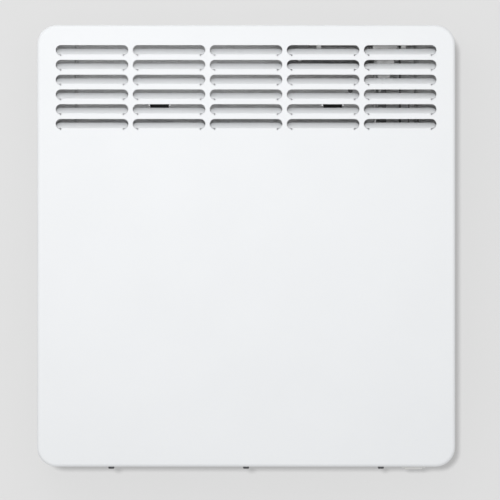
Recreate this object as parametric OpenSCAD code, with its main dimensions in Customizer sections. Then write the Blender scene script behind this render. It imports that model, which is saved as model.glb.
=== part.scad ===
// Wall convector heater: a louvred pressed-steel front cover over a finned heating
// element, hung by lanced hooks on a pressed wall bracket.
// Millimetres. X runs right as seen from the room, Y into the wall, Z up.
// The origin lies on the wall, at the centre of the bracket's four screw holes.

/* [Casing] */
// Width of the casing
casing_w = 426; // [400:2:500]
// Height of the casing
casing_h = 450; // [430:2:520]
// Depth of the front cover, from its face to its rear edge
casing_d = 78; // [74:1:100]
// Thickness of the cover's steel sheet
sheet_t = 1.0; // [0.8:0.1:1.2]
// Outer radius of the casing's four corners
corner_r = 20; // [12:1:24]
// Outer radius of the bend round the face
edge_r = 3; // [2:0.5:4]
// Width of the lip that turns inwards at the rear edge
rear_lip = 10; // [8:1:12]

/* [Louvres] */
// Length of one slot
slot_len = 73.9; // [60:0.1:80]
// Height of one slot
slot_h = 10.3; // [9:0.1:10.6]
// Steel left between two slots in a row
slot_gap = 4.6; // [3:0.1:12]
// Distance from one row to the next
row_pitch = 15.05; // [14.2:0.05:17]
// Number of rows
slot_rows = 6; // [3:1:7]
// Steel above the top row
louvre_drop = 20.4; // [18:0.1:26]
// Least steel left beside the outer slots
louvre_margin = 16; // [12:1:24]
// Angle through which each flap is bent inwards
flap_angle = 52; // [40:1:60]
// Inner radius of a flap's bend
flap_bend_r = 0.5; // [0.3:0.1:1]
// Width of the cut round a flap
flap_kerf = 0.35; // [0.2:0.05:0.5]
// Radius of the relief at each end of a flap's bend
relief_r = 0.85; // [0.5:0.05:1]

/* [Back panel] */
// Thickness of the back panel
panel_t = 1.0; // [0.8:0.1:1.4]
// Step from the cover's outline to the panel's
panel_inset = 2; // [1:0.5:3]
// Distance between the two hooks
hook_span = 178; // [140:2:190]
// Height of the hook windows' lower edge above the origin
window_z = 142; // [134:0.5:146]
// Width of a hook window
window_w = 19; // [18:0.5:24]
// Height of a hook window
window_h = 13; // [12:0.5:14]
// Width of a hook
hook_w = 16; // [12:1:17]
// Reach of a hook behind the panel
hook_reach = 6.4; // [5.6:0.2:7.4]
// Drop of a hook's tip
hook_drop = 5.4; // [4:0.2:6]
// Distance of the two vertical creases from the middle
crease_x = 174.5; // [168:0.5:180]
// Radius of a crease
crease_r = 1.6; // [1.2:0.1:2]
// Length of the pressed stiffening beads
bead_len = 290; // [200:10:300]
// Width of the stiffening beads
bead_w = 16; // [10:1:22]
// Depth of the stiffening beads
bead_d = 3; // [2:0.5:4]
// Distance between the stiffening beads
bead_pitch = 62; // [40:2:70]
// Height of the middle bead above the origin
bead_rise = 24; // [0:2:30]
// Radius of the small hole beside the right hook
clip_hole_r = 2.6; // [1.5:0.1:3]
// Distance of that hole from the hook's middle
clip_hole_dx = 18.3; // [16:0.1:22]

/* [Wall bracket] */
// Thickness of the bracket's steel
bracket_t = 1.5; // [1.2:0.1:2]
// Distance from the wall to the front of the bracket's legs
bracket_d = 19.5; // [17:0.5:26]
// Clear distance from the legs to the back panel
bracket_gap = 1.5; // [1.4:0.1:3]
// Width of a leg
leg_w = 36; // [30:1:40]
// Width of a leg's wall flange
leg_flange = 14; // [12:1:18]
// Radius of the legs' outer bends
leg_bend_r = 3; // [2.5:0.5:4]
// Height of the legs' lower ends above the bottom of the casing
leg_rise = 39; // [30:1:60]
// Height of the screw holes above and below the origin
wall_hole_z = 130; // [100:5:140]
// Radius of the wall screw holes
wall_hole_r = 3.2; // [2.5:0.1:4]
// Height of a cross rail
rail_h = 34; // [24:1:40]
// Clearance between a hook and the edge that it rests on
hook_rest = 0.3; // [0.2:0.1:0.5]
// Depth of a leg's notch below the leg's top
notch_d = 3; // [2:0.5:4]
// Distance from a screw hole's height to the near edge of its rail
rail_inset = 10; // [6:1:20]

/* [Air inlet] */
// Width of the opening in the bottom of the cover
inlet_w = 300; // [260:2:304]
// Depth of the air slots, front to back
inlet_slot = 7.5; // [5:0.5:8]
// Steel left between two air slots
inlet_bar = 4; // [3:0.5:6]
// Number of air slots, front to back
inlet_slots = 4; // [2:1:4]
// Steel between the left and right groups of slots
inlet_middle = 12; // [8:1:20]
// Rim of the grille that rests on the cover
grille_rim = 10; // [8:1:12]

/* [Heating element] */
// Height of the element above the bottom
element_rise = 105; // [95:1:130]
// Radius of the heating tube
tube_r = 4.2; // [3.5:0.1:5]
// Distance between the tube's two runs
tube_span = 28; // [24:1:32]
// Clearance between the tube and what it passes through
tube_clear = 0.05; // [0.02:0.01:0.1]
// Depth of a fin, front to back
fin_w = 54; // [46:1:56]
// Height of a fin
fin_h = 54; // [48:1:64]
// Thickness of a fin
fin_t = 0.8; // [0.5:0.1:1.2]
// Distance from one fin to the next
fin_pitch = 8; // [6:0.5:14]
// Length of the finned stretch
fin_stretch = 264; // [200:8:272]
// Radius of a fin's corners
fin_corner_r = 5; // [2:0.5:8]
// Distance from the partition to the first fin
fin_start = 12; // [8:1:16]
// Distance from the last fin to the element bracket
fin_end = 8; // [4:1:12]
// Distance from the element bracket to the tube's bend
tube_over = 8; // [6:1:10]
// Distance of the fins from the heat shield
fin_gap = 2; // [1.5:0.5:3]
// Thickness of the inner brackets, shelf and shield
inner_t = 1.0; // [0.8:0.1:1.2]
// Width of the inner parts' flanges
inner_flange = 12; // [10:1:14]

/* [Electrical bay] */
// Width of the bay at the right, inside the cover
bay_w = 80; // [76:1:84]
// Height of the control shelf below the top of the casing
shelf_drop = 43; // [40:1:45]
// Height of the shelf's rivets above it
shelf_rivet_rise = 10; // [8:0.5:12]
// Distance of the shelf's left end from the partition
shelf_len = 92; // [84:1:100]
// Width of one pole of the terminal block
pole_pitch = 14; // [12:0.5:15]
// Height of the terminal block above the bottom
block_rise = 106; // [100:1:112]
// Radius of the mains cord's way through the gland
cord_bore_r = 3.7; // [3:0.1:4.5]
// Height of the gland above the bottom
gland_rise = 40; // [34:1:50]
// Radius of an internal wire
wire_r = 1.0; // [0.7:0.1:1.2]
// Radius of an internal wire's bends
wire_bend_r = 2.6; // [2:0.1:2.6]

/* [Control unit] */
// Length of the opening in the top of the cover
unit_len = 100; // [96:1:104]
// Depth of the opening in the top of the cover
unit_d = 38; // [34:1:40]
// Distance of the unit's middle from the outside of the casing
unit_inset = 95.5; // [92:0.5:98]
// Height of the unit below the top of the casing
unit_h = 20.4; // [20:0.1:20.8]
// Sink of the bezel below the casing's top
bezel_sink = 0.4; // [0.2:0.1:0.6]
// Distance between the unit's two snap legs
snap_span = 86.5; // [80:0.5:90]
// Part of the opening's length that the display window takes
display_part = 0.36; // [0.3:0.01:0.38]
// Depth of the display window
display_d = 20; // [14:1:24]
// Width of a button
button_w = 9; // [7:0.5:10]
// Length of a button
button_l = 14; // [12:0.5:18]
// Travel of a button
button_travel = 0.5; // [0.3:0.05:0.6]

/* [Mains switch] */
// Distance of the switch from the outside of the casing
switch_inset = 42; // [36:1:48]
// Width of the switch's bezel
switch_w = 24; // [22:0.5:26]
// Depth of the switch's bezel
switch_d = 21; // [20:0.5:24]
// Distance of the switch from the front face
switch_back = 22; // [20:0.5:26]
// Thickness of the switch's bezel
switch_bezel_t = 1.4; // [1:0.1:1.8]
// Tilt of the rocker to either side
rocker_tilt = 8; // [5:0.5:9]
// Depth of the rocker's pivot below the bezel's face
rocker_pivot = 4.4; // [4:0.1:5]
// Radius of the rocker's round ends
rocker_r = 8.1; // [7.5:0.1:8.2]
// Clearance round the rocker
rocker_clear = 0.3; // [0.2:0.05:0.4]

/* [Fasteners] */
// Radius of the cover screws' heads
screw_head_r = 3.1; // [2.5:0.1:4]
// Height of the cover screws' heads
screw_head_h = 3.0; // [2:0.1:4]
// Radius of the screws' shanks
screw_r = 1.75; // [1.4:0.05:2]
// Radius of the rivets' shanks
rivet_r = 1.6; // [1.2:0.1:2]
// Clearance of a shank in its hole
shank_clear = 0.05; // [0.05:0.01:0.15]
// Radius of the back screws' heads
back_head_r = 3.3; // [3:0.1:3.6]
// Height of the back screws' heads
back_head_h = 1.2; // [0.8:0.1:1.2]

/* [Hidden] */
$fn = 64;

// Small overshoot of a cut beyond the surface that it opens
over = 1;
// Running clearance of the flat moving faces
seat_gap = 0.3;
// Clearance of a moulded part in its cut-out
cut_clear = 0.2;

// Levels of the casing
side_x = casing_w / 2;
top_z = casing_h / 2;
low_z = -casing_h / 2;
panel_back = -(bracket_d + bracket_gap);
panel_front = panel_back - panel_t;
face_y = panel_front - casing_d;
face_in = face_y + sheet_t;
mid_y = (face_y + panel_front) / 2;
low_in = low_z + sheet_t;
top_in = top_z - sheet_t;

// Louvre pattern
slot_pitch = slot_len + slot_gap;
slot_cols = floor((casing_w - 2 * louvre_margin + slot_gap) / slot_pitch);
slot_xs = [for (i = [0 : slot_cols - 1]) (i - (slot_cols - 1) / 2) * slot_pitch];
slot_zs = [for (j = [0 : slot_rows - 1]) top_z - louvre_drop - slot_h / 2 - j * row_pitch];
flap_arc = flap_angle * PI / 180 * (flap_bend_r + sheet_t / 2);
flap_root = 1;
// Width of the face strip that belongs to the cover's rim
rim_lap = edge_r + 4;

// Partition between the heated space and the bay
part_x = side_x - sheet_t - bay_w;
part_left = part_x - inner_t;
part_setback = 10;
part_front = face_y + part_setback;
part_flange_inset = 60;
foot_margin = 5;
foot_reach = 20;

// Heating element
element_y = mid_y;
shield_y = element_y + fin_w / 2 + fin_gap;
element_z = low_z + element_rise;
run_zs = [element_z + tube_span / 2, element_z - tube_span / 2];
fin_right = part_left - fin_start;
fin_count = floor(fin_stretch / fin_pitch) + 1;
fin_left = fin_right - (fin_count - 1) * fin_pitch;
bracket_x = fin_left - fin_end;
bend_x = bracket_x - tube_over;
bush_r = tube_r + 2.6;
bush_collar_r = bush_r + 2.2;
bush_len = 11;
bush_collar_t = 2;
tube_end = part_x + 8;
pin_r = 1.6;
pin_len = 9;
pin_bead_len = 3;
pin_bead_r = tube_r - 0.8;

// Air inlet
inlet_d = inlet_slots * inlet_slot + (inlet_slots - 1) * inlet_bar;
inlet_x = part_left - grille_rim - 1 - inlet_w / 2;
inlet_y = mid_y + 5;
group_w = (inlet_w - inlet_middle) / 2;

// Cover screws
cover_screw_y = face_y + 12;
cover_screw_x = part_x + 5.5;
cover_screw_xs = [-cover_screw_x, 0, cover_screw_x];
cover_screw_len = 9;
panel_screw_len = 8;
shank_hole_r = screw_r + shank_clear;
rivet_hole_r = rivet_r + shank_clear;
rivet_head_r = rivet_r + 1.4;
rivet_head_t = 0.9;

// Hooks and bracket
hook_xs = [-hook_span / 2, hook_span / 2];
hook_top = window_z + window_h;
hook_bend_r = 0.5;
hook_under = hook_top - hook_bend_r - panel_t;
hook_seat = hook_under - hook_rest;
leg_top = hook_seat + notch_d;
notch_w = hook_w + 2;
leg_low = casing_h / 2 - leg_rise;
wall_hole_x = hook_span / 2 + leg_w / 2 + leg_flange / 2;
rail_zs = [for (s = [1, -1]) s * (wall_hole_z - rail_inset - rail_h / 2)];
pad_w = 20;
pad_h = 14;
pad_z = -leg_low + pad_h / 2 + 3;

// Screws that hold the back panel to the cover's rear lip
lip_line = (panel_inset + rear_lip) / 2;
panel_screw_points = [
    for (sx = [-1, 1], z = [-casing_h / 3, casing_h / 3]) [sx * (side_x - lip_line), z],
    for (x = [-casing_w / 4, casing_w / 4], sz = [-1, 1]) [x, sz * (top_z - lip_line)]
];

// Mains switch
switch_x = side_x - switch_inset;
switch_y = face_y + switch_back;
switch_face = low_z - switch_bezel_t;
pivot_z = switch_face + rocker_pivot;
switch_body_w = switch_w - 2;
switch_body_d = switch_d - 2;
switch_body_h = 17;
rocker_w = 18;
rocker_pin_r = 1.5;
rocker_pin_len = 1.6;
rocker_pin_clear = 0.05;
blade_w = 4.8;
blade_t = 0.8;
blade_h = 8;
blade_dx = 5;
blade_dy = 4.5;
blade_top = low_z + switch_body_h + blade_h;

// Control unit under the top of the cover
unit_x = side_x - unit_inset;
unit_floor = top_z - unit_h;
unit_wall = 2;
floor_t = 1.5;
bezel_t = 2.4;
bezel_back = top_in - bezel_t;
bezel_face = top_z - bezel_sink;
bezel_edge = 0.3;
cavity_len = unit_len + 4;
cavity_d = unit_d + 6;
button_flange_t = 1;
button_flange = 1;
board_t = 1.6;
board_top = bezel_back - 5.1;
board_low = board_top - board_t;
board_len = cavity_len - 4;
board_d = cavity_d - 4;
post_inset = 3.5;
post_r = 2.8;
post_dx = board_len / 2 - post_inset;
post_dy = board_d / 2 - post_inset;
board_screw_r = 1.2;
board_hole_r = 1.3;
board_head_r = 2.2;
board_head_h = 1.4;
tact_w = 6;
tact_h = 2;
plunger_r = 1.7;
plunger_h = 0.2;
stem_end = board_top + tact_h + plunger_h + button_travel + 0.4;
unit_margin = 4;
display_len = unit_len * display_part;
display_x = unit_x - unit_len / 2 + unit_margin + display_len / 2;
button_pitch = (unit_len - display_len - 3 * unit_margin) / 4;
last_button = unit_x + unit_len / 2 - button_w / 2 - 4.5;
button_xs = [for (i = [0 : 3]) last_button - (3 - i) * button_pitch];
lens_t = 1.2;
lens_ledge = 1.5;
lens_edge = 0.2;

// Wire positions on the board's connector
pin_x = unit_x + unit_len / 2 - 10;
pin_pitch = 6;
pin_ys = [for (i = [-2 : 2]) mid_y + i * pin_pitch];
connector_h = 8;
connector_half = 4;
connector_z = board_low - connector_h;

// Control shelf
shelf_z = top_z - shelf_drop;
shelf_x = part_left - shelf_len;
shelf_front = mid_y - 26;

// Thermal cutout
cutout_z = element_z + fin_h / 2 + 22;
cutout_x = part_left - 20;
cutout_disc_r = 8;
cutout_disc_t = 2.6;
cutout_body_w = 16;
cutout_body_d = 24;
cutout_body_h = 7.4;
cutout_pin_z = cutout_z + inner_t + cutout_body_h;
cutout_pin_x = cutout_x + cutout_body_w / 2 + 7;
cutout_hole_r = 6;
cutout_plate_half = 12;
cutout_plate_drop = 8;

// Terminal block and earth
block_x = switch_x - 3;
pole_xs = [for (i = [-1 : 1]) block_x + i * pole_pitch];
block_z = low_z + block_rise;
block_h = 20;
block_top = block_z + block_h;
block_d = 16;
block_face = panel_front - block_d;
pole_y = panel_front - block_d / 2;
pole_z = block_z + block_h / 2;
pole_screw_r = 2.5;
earth_x = pole_xs[2] + 14;
earth_z = block_z - 4;

// Cord gland
gland_x = side_x - 35;
gland_z = low_z + gland_rise;
gland_r = 7.9;
gland_hole_r = gland_r + 0.1;
gland_flange_r = gland_r + 2.6;
gland_flange_t = 2.4;
gland_nut_r = 11;
gland_nut_t = 5;
gland_nose = 12;
gland_inner = 13;

// Radius of the holes for the wires through the partition
grommet_r = wire_r + 1.6;

// Room sensor
sensor_x = side_x - 26;
sensor_base_h = 10;
sensor_bead_r = 2.4;
sensor_top = low_in + sensor_base_h + 3;

// Solids with their outline drawn in the plane of the face, from y0 to y1
module slab_y(y0, y1) {
    translate([0, y1, 0])
        rotate([90, 0, 0])
            linear_extrude(y1 - y0)
                children();
}

// Solids with their outline drawn in plan, from z0 to z1
module slab_z(z0, z1) {
    translate([0, 0, z0])
        linear_extrude(z1 - z0)
            children();
}

// Solids with their outline drawn in the side view, from x0 to x1
module slab_x(x0, x1) {
    translate([x0, 0, 0])
        rotate([90, 0, 90])
            linear_extrude(x1 - x0)
                children();
}

// Rectangle between two corners
module span(a, b) {
    translate(a)
        square(b - a);
}

// Rectangle with round corners
module round_rect(w, h, r) {
    square([w - 2 * r, h], center = true);
    square([w, h - 2 * r], center = true);
    for (sx = [-1, 1], sy = [-1, 1])
        translate([sx * (w / 2 - r), sy * (h / 2 - r)])
            circle(r);
}

// Slot with round ends, lying along x
module stadium(len, h) {
    square([len - h, h], center = true);
    for (sx = [-1, 1])
        translate([sx * (len - h) / 2, 0])
            circle(h / 2);
}

// Cylinder along y, from y0 to y1
module rod_y(x, z, y0, y1, r) {
    translate([x, y1, z])
        rotate([90, 0, 0])
            cylinder(r = r, h = y1 - y0);
}

// Cylinder along x, from x0 to x1
module rod_x(x0, x1, y, z, r) {
    translate([x0, y, z])
        rotate([0, 90, 0])
            cylinder(r = r, h = x1 - x0);
}

// Cylinder along z, from z0 to z1
module rod_z(x, y, z0, z1, r) {
    translate([x, y, z0])
        cylinder(r = r, h = z1 - z0);
}

// A rod that follows a route of square corners, with a true bend at each of them
function unit(v) = v / norm(v);
function way(p, i) = unit(p[i + 1] - p[i]);

module run(a, b, r) {
    d = b - a;
    translate(a)
        rotate([0, acos(d.z / norm(d)), atan2(d.y, d.x)])
            cylinder(r = r, h = norm(d));
}

// A bend starts at s, runs along u and turns square towards w
module elbow(s, u, w, r, bend_r) {
    n = cross(u, w);
    upright = abs(w.z) > 0.5;
    pitch = upright ? 90 * w.z : 0;
    roll = upright ? atan2(-n.y, u.y) : atan2(u.z, n.z);
    yaw = upright ? 0 : atan2(-w.y, -w.x);
    translate(s + bend_r * w)
        rotate([roll, pitch, yaw])
            rotate_extrude(angle = 90)
                translate([bend_r, 0])
                    circle(r);
}

module bent_rod(p, r, bend_r) {
    last = len(p) - 1;
    for (i = [0 : last - 1])
        run(p[i] + way(p, i) * (i > 0 ? bend_r : 0),
            p[i + 1] - way(p, i) * (i + 1 < last ? bend_r : 0), r);
    for (i = [1 : last - 1])
        elbow(p[i] - way(p, i - 1) * bend_r, way(p, i - 1), way(p, i), r, bend_r);
}

// Pan-head screw that points up, its head below z
module pan_screw_up(x, y, z, length) {
    rod_z(x, y, z, z + length, screw_r);
    translate([x, y, z])
        mirror([0, 0, 1])
            rotate_extrude() {
                square([screw_head_r - 1, screw_head_h]);
                square([screw_head_r, screw_head_h - 1]);
                translate([screw_head_r - 1, screw_head_h - 1])
                    circle(1);
            }
}

// Rivet through sheets that lie between y0 and y1
module rivet(x, z, y0, y1) {
    rod_y(x, z, y0 - rivet_head_t, y1 + rivet_head_t, rivet_r);
    rod_y(x, z, y0 - rivet_head_t, y0, rivet_head_r);
    rod_y(x, z, y1, y1 + rivet_head_t, rivet_head_r);
}

// Where the inner parts' flanges are riveted to the back panel
partition_rivets = [
    for (z = [low_z + part_flange_inset + 15, 0, top_z - part_flange_inset - 25])
        [part_x + inner_flange / 2, z]
];
bracket_rivet_dz = 20;
bracket_rivets = [
    for (s = [-1, 1]) [bracket_x - inner_flange / 2, element_z + s * bracket_rivet_dz]
];
shield_left = bracket_x + 6;
shield_right = part_left - 8;
shield_reach = fin_h / 2 + 12;
shield_top = element_z + shield_reach;
shield_low = element_z - shield_reach;
shield_rivet_inset = 15;
shield_rivets = [
    for (x = [shield_left + shield_rivet_inset, shield_right - shield_rivet_inset], s = [-1, 1])
        [x, element_z + s * (shield_reach + inner_flange / 2)]
];
shelf_rivet_inset = 16;
shelf_rivets = [
    for (x = [shelf_x + shelf_rivet_inset, part_left - shelf_rivet_inset])
        [x, shelf_z + shelf_rivet_rise]
];
flange_rivets = concat(partition_rivets, bracket_rivets, shield_rivets, shelf_rivets);

// Section of the cover's rim: the face is at y = 0 and the depth runs to minus y
module rim_section() {
    span([corner_r - rim_lap, -sheet_t], [corner_r - edge_r, 0]);
    translate([corner_r - edge_r, -edge_r])
        intersection() {
            difference() {
                circle(edge_r);
                circle(edge_r - sheet_t);
            }
            square(edge_r);
        }
    span([corner_r - sheet_t, -casing_d], [corner_r, -edge_r]);
    span([corner_r - rear_lip, -casing_d], [corner_r - sheet_t, sheet_t - casing_d]);
}

// The rim runs round four sides and four corners
module cover_rim() {
    for (q = [0 : 3])
        let (across = q % 2 == 0 ? casing_w : casing_h,
             along = q % 2 == 0 ? casing_h : casing_w)
            rotate([0, 0, 90 * q]) {
                translate([across / 2 - corner_r, 0, 0])
                    rotate([90, 0, 0])
                        linear_extrude(along - 2 * corner_r, center = true)
                            rim_section();
                translate([across / 2 - corner_r, along / 2 - corner_r, 0])
                    rotate_extrude(angle = 90)
                        rim_section();
            }
}

// Outline of the face inside its rim, with its slots and their bend reliefs
module face_outline() {
    difference() {
        round_rect(casing_w - 2 * rim_lap, casing_h - 2 * rim_lap, corner_r - rim_lap);
        for (x = slot_xs, z = slot_zs)
            translate([x, z]) {
                stadium(slot_len, slot_h);
                for (s = [-1, 1])
                    translate([s * (slot_len - slot_h) / 2, -slot_h / 2])
                        circle(relief_r);
            }
    }
}

// Section of a flap: its root in the face, its bend inwards and a length of its blade
module flap_section(blade) {
    steps = 5;
    outer_r = flap_bend_r + sheet_t;
    dir = [sin(flap_angle), cos(flap_angle)];
    function on_bend(r, i) =
        [outer_r, 0] + r * [-cos(flap_angle * i / steps), sin(flap_angle * i / steps)];
    polygon(concat(
        [[sheet_t, -flap_root], [0, -flap_root]],
        [for (i = [0 : steps]) on_bend(outer_r, i)],
        [on_bend(outer_r, steps) + blade * dir, on_bend(flap_bend_r, steps) + blade * dir],
        [for (i = [0 : steps]) on_bend(flap_bend_r, steps - i)]
    ));
}

// One flap: the metal of its slot, bent inwards about the slot's lower edge
module flap() {
    bend_len = slot_len - slot_h - relief_r;
    slab_x(-bend_len / 2, bend_len / 2)
        flap_section(1);
    intersection() {
        slab_x(-slot_len / 2, slot_len / 2)
            flap_section(slot_h);
        translate([0, flap_bend_r + sheet_t, 0])
            rotate([90 - flap_angle, 0, 0])
                slab_z(-over, flap_bend_r + sheet_t + over)
                    flap_outline();
    }
}

// The flap beyond its bend, its length along x and its width along y
module flap_outline() {
    intersection() {
        translate([0, slot_h / 2 - flap_arc])
            stadium(slot_len - 2 * flap_kerf, slot_h - 2 * flap_kerf);
        translate([-slot_len / 2, flap_kerf])
            square([slot_len, slot_h]);
    }
}

module front_cover() {
    color("white") {
        difference() {
            translate([0, face_y, 0])
                rotate([90, 0, 0])
                    cover_rim();
            slab_z(low_z - over, low_in + over) {
                translate([inlet_x, inlet_y])
                    round_rect(inlet_w, inlet_d, 3);
                translate([switch_x, switch_y])
                    square([switch_body_w + 2 * cut_clear, switch_body_d + 2 * cut_clear],
                           center = true);
                for (x = cover_screw_xs)
                    translate([x, cover_screw_y])
                        circle(shank_hole_r);
            }
            slab_z(top_in - over, top_z + over)
                translate([unit_x, mid_y])
                    round_rect(unit_len, unit_d, 4);
            for (p = panel_screw_points)
                rod_y(p.x, p.y, panel_front - sheet_t - over, panel_front + over, shank_hole_r);
        }
        slab_y(face_y, face_in)
            face_outline();
        for (x = slot_xs, z = slot_zs)
            translate([x, face_y, z - slot_h / 2])
                flap();
    }
}

// Sheet metal round a quarter bend: its centre, its outward quadrant and its radii
module bend(centre, sy, sz, r, t) {
    translate(centre)
        intersection() {
            difference() {
                circle(r + t);
                circle(r);
            }
            translate([sy > 0 ? 0 : -(r + t), sz > 0 ? 0 : -(r + t)])
                square(r + t);
        }
}

// A hook lanced from its window, bent back towards the wall and down
module hook() {
    tip_y = panel_back + hook_reach - panel_t;
    slab_x(-hook_w / 2, hook_w / 2) {
        bend([panel_back + hook_bend_r, hook_top], -1, -1, hook_bend_r, panel_t);
        span([panel_back + hook_bend_r, hook_under],
             [tip_y - hook_bend_r, hook_under + panel_t]);
        bend([tip_y - hook_bend_r, hook_under - hook_bend_r], 1, 1, hook_bend_r, panel_t);
        span([tip_y, hook_under - hook_bend_r - hook_drop],
             [tip_y + panel_t, hook_under - hook_bend_r]);
    }
}

// Stiffening beads pressed towards the room, and the creases beside them
bead_zs = [for (i = [-1 : 1]) bead_rise + i * bead_pitch];
bead_x = (part_left - crease_x) / 2;
crease_low = block_top + 20;
crease_high = top_z - rear_lip - 4;

module back_panel() {
    color("gainsboro") {
        difference() {
            union() {
                slab_y(panel_front, panel_back)
                    round_rect(casing_w - 2 * panel_inset, casing_h - 2 * panel_inset,
                               corner_r - panel_inset);
                for (z = bead_zs)
                    translate([bead_x, 0, z])
                        slab_y(panel_front - bead_d, panel_front)
                            stadium(bead_len, bead_w);
                for (s = [-1, 1])
                    rod_z(s * crease_x, panel_front, crease_low, crease_high, crease_r);
            }
            for (z = bead_zs)
                translate([bead_x, 0, z])
                    slab_y(panel_front - bead_d + panel_t, panel_back + over)
                        stadium(bead_len - 2 * panel_t, bead_w - 2 * panel_t);
            slab_y(panel_back, panel_back + crease_r + over)
                span([-side_x, low_z], [side_x, top_z]);
            for (s = [-1, 1])
                rod_z(s * crease_x, panel_back, crease_low, crease_high, crease_r - panel_t + 0.1);
            for (x = hook_xs)
                slab_y(panel_front - over, panel_back + over)
                    span([x - window_w / 2, window_z], [x + window_w / 2, hook_top]);
            for (p = panel_screw_points)
                rod_y(p.x, p.y, panel_front - over, panel_back + over, shank_hole_r);
            for (p = flange_rivets)
                rod_y(p.x, p.y, panel_front - over, panel_back + over, rivet_hole_r);
            rod_y(gland_x, gland_z, panel_front - over, panel_back + over, gland_hole_r);
            rod_y(earth_x, earth_z, panel_front - over, panel_back + over, shank_hole_r);
            rod_y(hook_xs[1] + clip_hole_dx, hook_top + 5, panel_front - over,
                  panel_back + over, clip_hole_r);
        }
        for (x = hook_xs)
            translate([x, 0, 0])
                hook();
    }
}

// Section of a bracket leg: a channel that opens to the wall, with two flanges
module leg_section() {
    inner_w = leg_w - 2 * bracket_t;
    inner_r = leg_bend_r - bracket_t;
    difference() {
        union() {
            span([-leg_w / 2, leg_bend_r - bracket_d], [leg_w / 2, 0]);
            span([leg_bend_r - leg_w / 2, -bracket_d], [leg_w / 2 - leg_bend_r, 0]);
            for (s = [-1, 1])
                translate([s * (leg_w / 2 - leg_bend_r), leg_bend_r - bracket_d])
                    circle(leg_bend_r);
            span([-leg_w / 2 - leg_flange, -bracket_t], [leg_w / 2 + leg_flange, 0]);
        }
        span([-inner_w / 2, leg_bend_r - bracket_d], [inner_w / 2, over]);
        span([inner_r - inner_w / 2, bracket_t - bracket_d], [inner_w / 2 - inner_r, over]);
        for (s = [-1, 1])
            translate([s * (inner_w / 2 - inner_r), leg_bend_r - bracket_d])
                circle(inner_r);
    }
}

// The bracket: two legs with notches for the hooks, joined by two rails on the wall
module wall_bracket() {
    rail_x = hook_span / 2 - leg_w / 2 - leg_flange;
    rail_edge = 9;
    rail_bead = rail_h - 2 * rail_edge;
    color("lightgray")
        difference() {
            union() {
                for (x = hook_xs)
                    translate([x, 0, 0])
                        slab_z(-leg_low, leg_top)
                            leg_section();
                for (z = rail_zs) {
                    slab_y(-bracket_t, 0)
                        span([-rail_x, z - rail_h / 2], [rail_x, z + rail_h / 2]);
                    translate([0, 0, z])
                        slab_y(-bracket_t - 3, -bracket_t)
                            stadium(2 * rail_x - 20, rail_bead);
                }
            }
            for (z = rail_zs)
                translate([0, 0, z])
                    slab_y(-3, over)
                        stadium(2 * rail_x - 20 - 2 * bracket_t, rail_bead - 2 * bracket_t);
            for (x = hook_xs)
                slab_y(-bracket_d - over, bracket_t - bracket_d + over)
                    span([x - notch_w / 2, hook_seat], [x + notch_w / 2, leg_top + over]);
            for (sx = [-1, 1], sz = [-1, 1])
                rod_y(sx * wall_hole_x, sz * wall_hole_z, -bracket_t - over, over, wall_hole_r);
        }
}

// Plate with rows of air slots, resting on the bottom of the cover
module inlet_grille() {
    plate_w = inlet_w + 2 * grille_rim;
    plate_low = cover_screw_y - 5;
    plate_high = inlet_y + inlet_d / 2 + 6;
    color("whitesmoke")
        difference() {
            slab_z(low_in, low_in + inner_t)
                span([inlet_x - plate_w / 2, plate_low], [inlet_x + plate_w / 2, plate_high]);
            slab_z(low_in - over, low_in + inner_t + over) {
                for (s = [-1, 1], i = [0 : inlet_slots - 1])
                    translate([inlet_x + s * (group_w + inlet_middle) / 2,
                               inlet_y + (i - (inlet_slots - 1) / 2) * (inlet_slot + inlet_bar)])
                        stadium(group_w, inlet_slot);
                for (x = [-cover_screw_x, 0])
                    translate([x, cover_screw_y])
                        circle(shank_hole_r);
            }
        }
}

module cover_screws() {
    color("#303030")
        for (x = cover_screw_xs)
            pan_screw_up(x, cover_screw_y, low_z, cover_screw_len);
}

// Screws from behind, through the back panel and the cover's rear lip
module panel_screws() {
    dome_r = (back_head_r * back_head_r + back_head_h * back_head_h) / (2 * back_head_h);
    color("silver")
        for (p = panel_screw_points) {
            rod_y(p.x, p.y, panel_front - panel_screw_len, panel_back, screw_r);
            translate([p.x, panel_back, p.y])
                rotate([-90, 0, 0])
                    rotate_extrude()
                        intersection() {
                            translate([0, back_head_h - dome_r])
                                circle(dome_r);
                            square([back_head_r, back_head_h]);
                        }
        }
}

module rivets() {
    color("silver")
        for (p = flange_rivets)
            rivet(p.x, p.y, panel_front - inner_t, panel_back);
}

// Soft pads that steady the lower end of the heater against the legs
module buffer_pads() {
    color("#404040")
        for (x = hook_xs)
            translate([x, 0, pad_z])
                slab_y(panel_back, panel_back + bracket_gap - seat_gap)
                    round_rect(pad_w, pad_h, 3);
}

// Hairpin tube: two runs through the fins, joined by a true bend at the left
module heating_tube() {
    half = tube_span / 2;
    color("dimgray") {
        for (z = run_zs)
            rod_x(bend_x, tube_end, element_y, z, tube_r);
        translate([bend_x, element_y, element_z])
            rotate([90, 0, 0])
                rotate([0, 0, 90])
                    rotate_extrude(angle = 180)
                        translate([half, 0])
                            circle(tube_r);
    }
}

// Pressed fins, each with two holes for the tube
module heat_fins() {
    color("silver")
        for (i = [0 : fin_count - 1])
            slab_x(fin_left + i * fin_pitch - fin_t / 2, fin_left + i * fin_pitch + fin_t / 2)
                translate([element_y, element_z])
                    difference() {
                        round_rect(fin_w, fin_h, fin_corner_r);
                        for (z = run_zs)
                            translate([0, z - element_z])
                                circle(tube_r + tube_clear);
                    }
}

// Ceramic bushes that carry the tube through the partition
module ceramic_bushes() {
    color("ivory")
        for (z = run_zs)
            translate([part_left - bush_collar_t, element_y, z])
                rotate([0, 90, 0])
                    rotate_extrude()
                        translate([tube_r + tube_clear, 0]) {
                            square([bush_collar_r - tube_r - tube_clear, bush_collar_t]);
                            square([bush_r - tube_r - tube_clear, bush_len]);
                        }
}

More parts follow.
